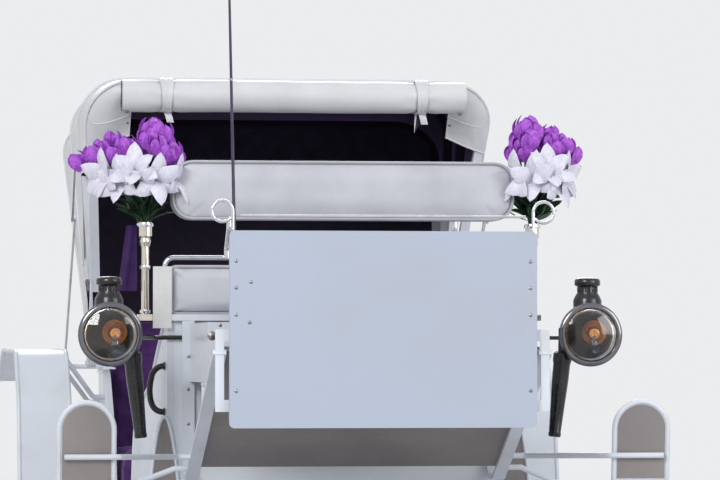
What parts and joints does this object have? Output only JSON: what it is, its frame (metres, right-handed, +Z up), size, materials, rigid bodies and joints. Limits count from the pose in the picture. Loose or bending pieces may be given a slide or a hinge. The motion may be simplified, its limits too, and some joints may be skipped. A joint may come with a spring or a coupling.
{
  "type": "horse drawn carriage",
  "caption": "Open passenger carriage with facing seats, a raised driver's box with dash and footboard, a half hood that folds back, spoked wheels, a steered fore-carriage and a pair of shafts.",
  "frame": {"origin": "on the floor under the middle of the outline, shafts included", "axes": "-Y is forwards, +X is the carriage's own left, +Z up"},
  "size_m": [1.73, 5.0362, 2.9403],
  "materials": {
    "white_paint": "satin white coach paint on wood panels",
    "white_board": "flat cool white painted board",
    "white_iron": "white painted iron",
    "white_wood": "white painted ash",
    "step_tread": "ribbed tread on a painted step",
    "floor_mat": "ribbed mat",
    "chrome": "polished",
    "brass": "pale polished",
    "black_enamel": "gloss black",
    "lamp_glass": "clear",
    "ivory_vinyl": "ivory coach vinyl",
    "hood_vinyl": "white coated canvas with a dark lining",
    "purple_cloth": "deep purple button-tufted cloth",
    "petals": "silk petals and leaves",
    "dark_plastic": "dark purple black",
    "plate_enamel": "blank white",
    "tyre_rubber": "solid rubber"
  },
  "bodies": {
    "root": {"side_left": "white_paint", "side_right": "white_paint", "floor_pan": "floor_mat", "front_seat_box": "white_paint", "rear_seat_box": "white_paint", "front_wall": "white_paint", "rear_wall": "white_paint", "underframe": "white_paint", "rear_axle": "white_iron", "rear_springs": "white_iron", "turntable_upper": "white_iron", "front_fenders": "white_iron", "rear_fenders": "white_iron", "steps": "step_tread", "driver_frame": "white_iron", "footboard": "white_paint", "driver_seat_box": "white_paint", "dash_board": "white_board", "dash_rail": "chrome", "driver_back": "ivory_vinyl", "driver_cushion": "ivory_vinyl", "outer_pad": "ivory_vinyl", "seat_rail": "chrome", "front_cushion": "purple_cloth", "rear_cushion": "purple_cloth", "front_backrest": "purple_cloth", "rear_backrest": "purple_cloth", "hood_hinges": "white_iron", "back_curtain": "hood_vinyl", "lamp_bodies": "black_enamel", "lamp_rims": "chrome", "lamp_glasses": "lamp_glass", "flower_holders": "brass", "bouquets": "petals", "whip": "dark_plastic", "plate": "plate_enamel", "grab_handles": "black_enamel"},
    "fore_carriage": {"fore_carriage": "white_iron", "front_axle": "white_iron", "front_springs": "white_iron"},
    "wheel_front_left": {"wheel_front_left": "white_wood", "tyre_front_left": "tyre_rubber"},
    "wheel_front_right": {"wheel_front_right": "white_wood", "tyre_front_right": "tyre_rubber"},
    "wheel_rear_left": {"wheel_rear_left": "white_wood", "tyre_rear_left": "tyre_rubber"},
    "wheel_rear_right": {"wheel_rear_right": "white_wood", "tyre_rear_right": "tyre_rubber"},
    "shafts": {"shafts": "white_wood"},
    "swingletree": {"swingletree": "white_wood"},
    "bow_rear": {"bow_rear": "white_wood", "canvas_three": "hood_vinyl"},
    "bow_three": {"bow_three": "white_wood", "canvas_two": "hood_vinyl"},
    "bow_two": {"bow_two": "white_wood", "canvas_front": "hood_vinyl"},
    "bow_front": {"bow_front": "white_wood", "front_curtain": "hood_vinyl"},
    "prop_lower": {"prop_lower": "chrome"},
    "prop_upper": {"prop_upper": "chrome"}
  },
  "joints": [
    {"name": "steer", "type": "hinge", "parent": "root", "child": "fore_carriage", "pos_m": [0, -0.07574, 0.8], "axis": [0, 0, 1], "range_deg": [-40, 40]},
    {"name": "front_left_spin", "type": "hinge", "parent": "fore_carriage", "child": "wheel_front_left", "pos_m": [0.75, -0.07574, 0.46], "axis": [1, 0, 0], "continuous": true},
    {"name": "front_right_spin", "type": "hinge", "parent": "fore_carriage", "child": "wheel_front_right", "pos_m": [-0.75, -0.07574, 0.46], "axis": [1, 0, 0], "continuous": true},
    {"name": "rear_left_spin", "type": "hinge", "parent": "root", "child": "wheel_rear_left", "pos_m": [0.75, 1.92426, 0.56], "axis": [1, 0, 0], "continuous": true},
    {"name": "rear_right_spin", "type": "hinge", "parent": "root", "child": "wheel_rear_right", "pos_m": [-0.75, 1.92426, 0.56], "axis": [1, 0, 0], "continuous": true},
    {"name": "shafts_lift", "type": "hinge", "parent": "fore_carriage", "child": "shafts", "pos_m": [0, -0.47574, 0.43], "axis": [-1, 0, 0], "range_deg": [0, 52]},
    {"name": "swingletree_swing", "type": "hinge", "parent": "shafts", "child": "swingletree", "pos_m": [0, -0.76988, 0.37101], "axis": [0, -0.1966, 0.9805], "range_deg": [-12, 12]},
    {"name": "hood_fold", "type": "hinge", "parent": "root", "child": "bow_rear", "pos_m": [0, 1.92426, 1.362], "axis": [-1, 0, 0], "range_deg": [0, 50], "deforming": ["back_curtain"]},
    {"name": "bow_three_fold", "type": "hinge", "parent": "bow_rear", "child": "bow_three", "pos_m": [0, 1.92426, 1.362], "axis": [-1, 0, 0], "range_deg": [0, 12], "deforming": ["canvas_three"]},
    {"name": "bow_two_fold", "type": "hinge", "parent": "bow_three", "child": "bow_two", "pos_m": [0, 1.92426, 1.362], "axis": [-1, 0, 0], "range_deg": [0, 14], "deforming": ["canvas_two"]},
    {"name": "bow_front_fold", "type": "hinge", "parent": "bow_two", "child": "bow_front", "pos_m": [0, 1.92426, 1.362], "axis": [-1, 0, 0], "range_deg": [0, 17], "deforming": ["canvas_front"]},
    {"name": "prop_lower_turn", "type": "hinge", "parent": "root", "child": "prop_lower", "pos_m": [0, 2.07426, 1.349], "axis": [-1, 0, 0], "range_deg": [0, 78.62]},
    {"name": "prop_knee", "type": "hinge", "parent": "prop_lower", "child": "prop_upper", "pos_m": [0, 1.62426, 1.822], "axis": [-1, 0, 0], "range_deg": [0, 96.64]}
  ],
  "couplings": [
    {"joint": "bow_three_fold", "follows": "hood_fold", "ratio": 0.24},
    {"joint": "bow_two_fold", "follows": "hood_fold", "ratio": 0.28},
    {"joint": "bow_front_fold", "follows": "hood_fold", "ratio": 0.34},
    {"joint": "prop_lower_turn", "follows": "hood_fold", "ratio": 1.5723},
    {"joint": "prop_knee", "follows": "hood_fold", "ratio": 1.9326}
  ]
}
